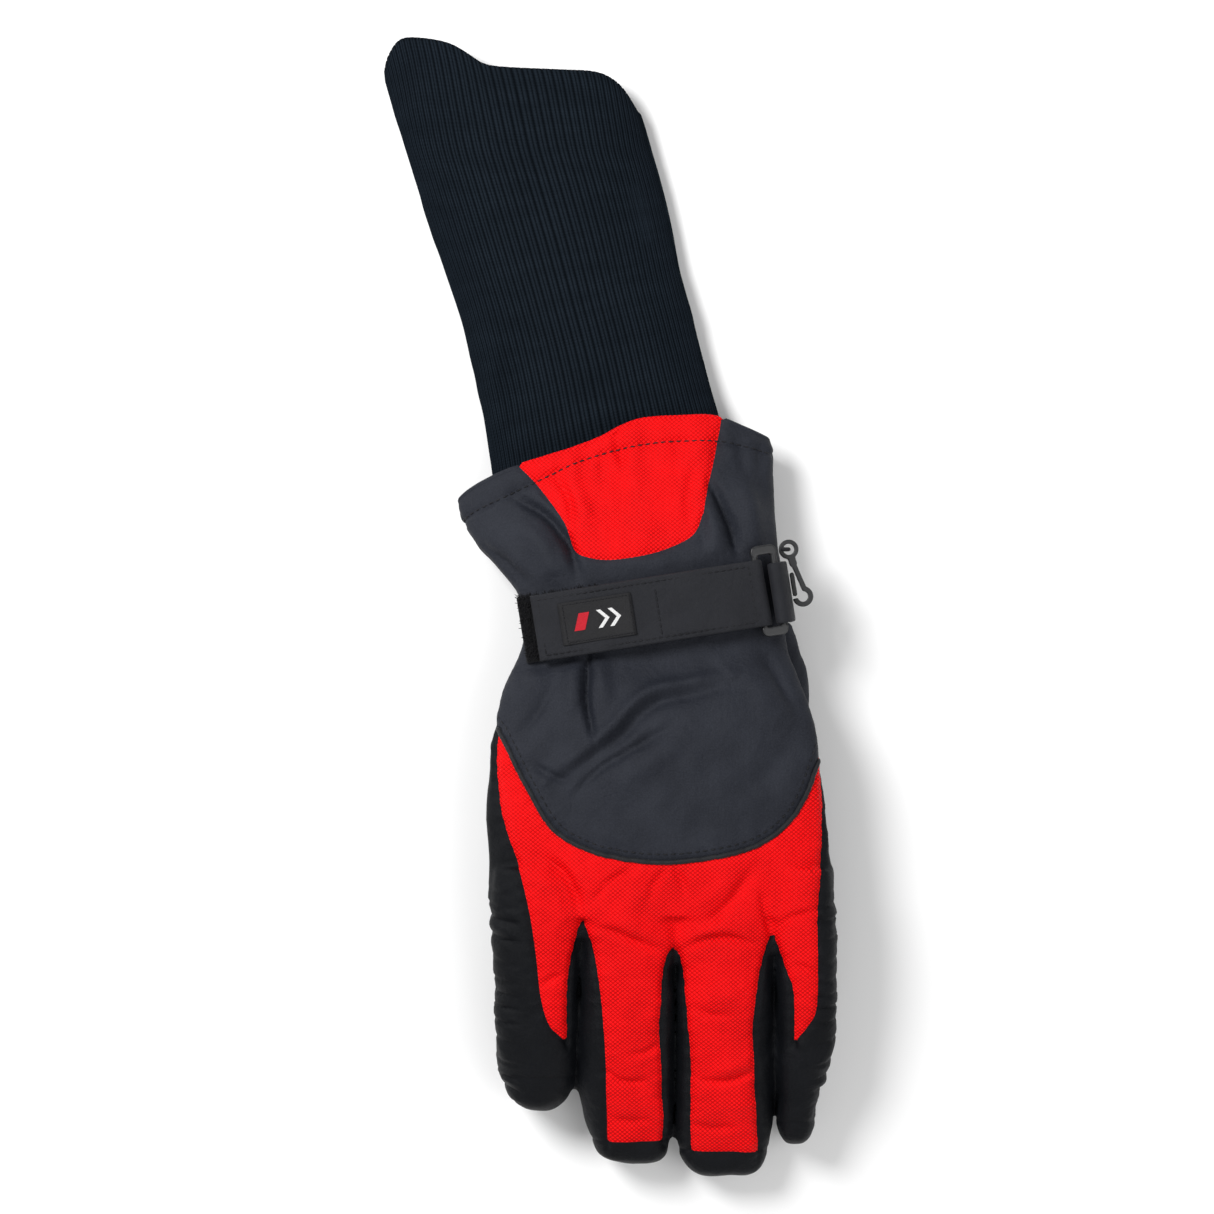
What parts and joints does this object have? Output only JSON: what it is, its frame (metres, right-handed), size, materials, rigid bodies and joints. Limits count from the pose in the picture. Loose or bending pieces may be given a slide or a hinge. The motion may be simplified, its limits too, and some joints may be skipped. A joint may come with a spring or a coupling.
{
  "type": "ski glove",
  "caption": "Right-hand insulated ski glove with gauntlet, wrist strap, snap hook and a long ribbed knit sleeve, lying palm down with the thumb folded under",
  "frame": {"origin": "on the resting surface, under the middle of the glove's outline", "axes": "+Y from the fingertips to the sleeve's mouth, +X towards the thumb and index finger, +Z out of the back of the hand"},
  "size_m": [0.1742, 0.437, 0.0505],
  "materials": {
    "charcoal_shell": "matte water-repellent woven nylon, charcoal with a blue tint",
    "black_shell": "matte woven nylon, black",
    "red_shell": "bright red dobby-weave nylon",
    "grip": "black polyurethane with an embossed pebble grain",
    "suede": "black microfibre suede",
    "piping": "black corded piping",
    "knit": "fine ribbed acrylic knit, near black with a teal tint",
    "lining": "black brushed fleece over fibre insulation",
    "webbing": "black polyester webbing",
    "pile": "black loop pile tape",
    "label": "black woven label with a plain red and white device",
    "plastic": "black moulded acetal",
    "elastic": "covered elastic"
  },
  "bodies": {
    "hand": {"back_panel": "charcoal_shell", "back_piping": "piping", "knuckle_panel": "red_shell", "pinky_side_panel": "black_shell", "index_side_panel": "black_shell", "palm_panel": "charcoal_shell", "palm_grip_patch": "grip", "hand_liner": "lining", "thumb_root_panel": "charcoal_shell", "cuff_insert": "red_shell", "cuff_back_left": "charcoal_shell", "cuff_back_right": "charcoal_shell", "cuff_palm_panel": "charcoal_shell", "hem_back": "charcoal_shell", "hem_palm": "charcoal_shell", "wrist_elastic": "elastic", "cuff_lining": "lining", "knit_root": "knit", "strap_base": "webbing", "strap_pile_tape": "pile", "anchor_webbing": "webbing", "clip_loop": "webbing"},
    "pinky_finger": {"pinky_back": "red_shell", "pinky_palm": "black_shell", "pinky_gussets": "black_shell", "pinky_tip_cap": "black_shell", "pinky_liner": "lining", "pinky_outer_panel": "black_shell"},
    "ring_finger": {"ring_back": "red_shell", "ring_palm": "black_shell", "ring_gussets": "black_shell", "ring_tip_cap": "black_shell", "ring_liner": "lining"},
    "middle_finger": {"middle_back": "red_shell", "middle_palm": "grip", "middle_gussets": "black_shell", "middle_tip_cap": "black_shell", "middle_liner": "lining"},
    "index_finger": {"index_back": "red_shell", "index_palm": "grip", "index_gussets": "black_shell", "index_tip_cap": "black_shell", "index_liner": "lining", "index_outer_panel": "black_shell"},
    "thumb": {"thumb_wipe_panel": "suede", "thumb_grip_panel": "grip", "thumb_gussets": "black_shell", "thumb_liner": "lining"},
    "knit_sleeve": {"knit_sleeve": "knit"},
    "strap_ring": {"strap_ring": "plastic"},
    "strap_tab": {"strap_tab": "webbing", "strap_hook_tape": "pile", "strap_label": "label"},
    "snap_hook": {"snap_hook": "plastic"},
    "snap_gate": {"snap_gate": "plastic"}
  },
  "joints": [
    {"name": "pinky_knuckle", "type": "hinge", "parent": "hand", "child": "pinky_finger", "pos_m": [-0.0272, -0.1218, 0.0462], "axis": [-1, 0, 0], "range_deg": [0, 60], "stiffness_Nm_per_rad": 0.05},
    {"name": "ring_knuckle", "type": "hinge", "parent": "hand", "child": "ring_finger", "pos_m": [0.008, -0.1218, 0.0462], "axis": [-1, 0, 0], "range_deg": [0, 60], "stiffness_Nm_per_rad": 0.05},
    {"name": "middle_knuckle", "type": "hinge", "parent": "hand", "child": "middle_finger", "pos_m": [0.0438, -0.1218, 0.0462], "axis": [-1, 0, 0], "range_deg": [0, 60], "stiffness_Nm_per_rad": 0.05},
    {"name": "index_knuckle", "type": "hinge", "parent": "hand", "child": "index_finger", "pos_m": [0.0741, -0.1218, 0.0462], "axis": [-1, 0, 0], "range_deg": [0, 60], "stiffness_Nm_per_rad": 0.05},
    {"name": "thumb_swing", "type": "hinge", "parent": "hand", "child": "thumb", "pos_m": [0.058, -0.058, 0.0106], "axis": [0, 0, 1], "range_deg": [0, 60]},
    {"name": "knit_fold", "type": "hinge", "parent": "hand", "child": "knit_sleeve", "pos_m": [-0.0032, 0.0656, 0.0172], "axis": [0.9701, 0.2425, 0], "range_deg": [0, 90]},
    {"name": "ring_rock", "type": "hinge", "parent": "hand", "child": "strap_ring", "pos_m": [0.06395, 0.00678, 0.03877], "axis": [-0.1564, 0.9877, 0], "range_deg": [0, 25]},
    {"name": "strap_peel", "type": "hinge", "parent": "strap_ring", "child": "strap_tab", "pos_m": [0.05674, 0.00564, 0.03998], "axis": [-0.1564, 0.9877, 0], "range_deg": [0, 120]},
    {"name": "hook_swivel", "type": "hinge", "parent": "hand", "child": "snap_hook", "pos_m": [0.0682, 0.0218, 0.0315], "axis": [0, 0, 1], "range_deg": [0, 110]},
    {"name": "gate_flex", "type": "hinge", "parent": "snap_hook", "child": "snap_gate", "pos_m": [0.0694, 0.0122, 0.0315], "axis": [0, 0, 1], "range_deg": [0, 14], "stiffness_Nm_per_rad": 0.01}
  ]
}
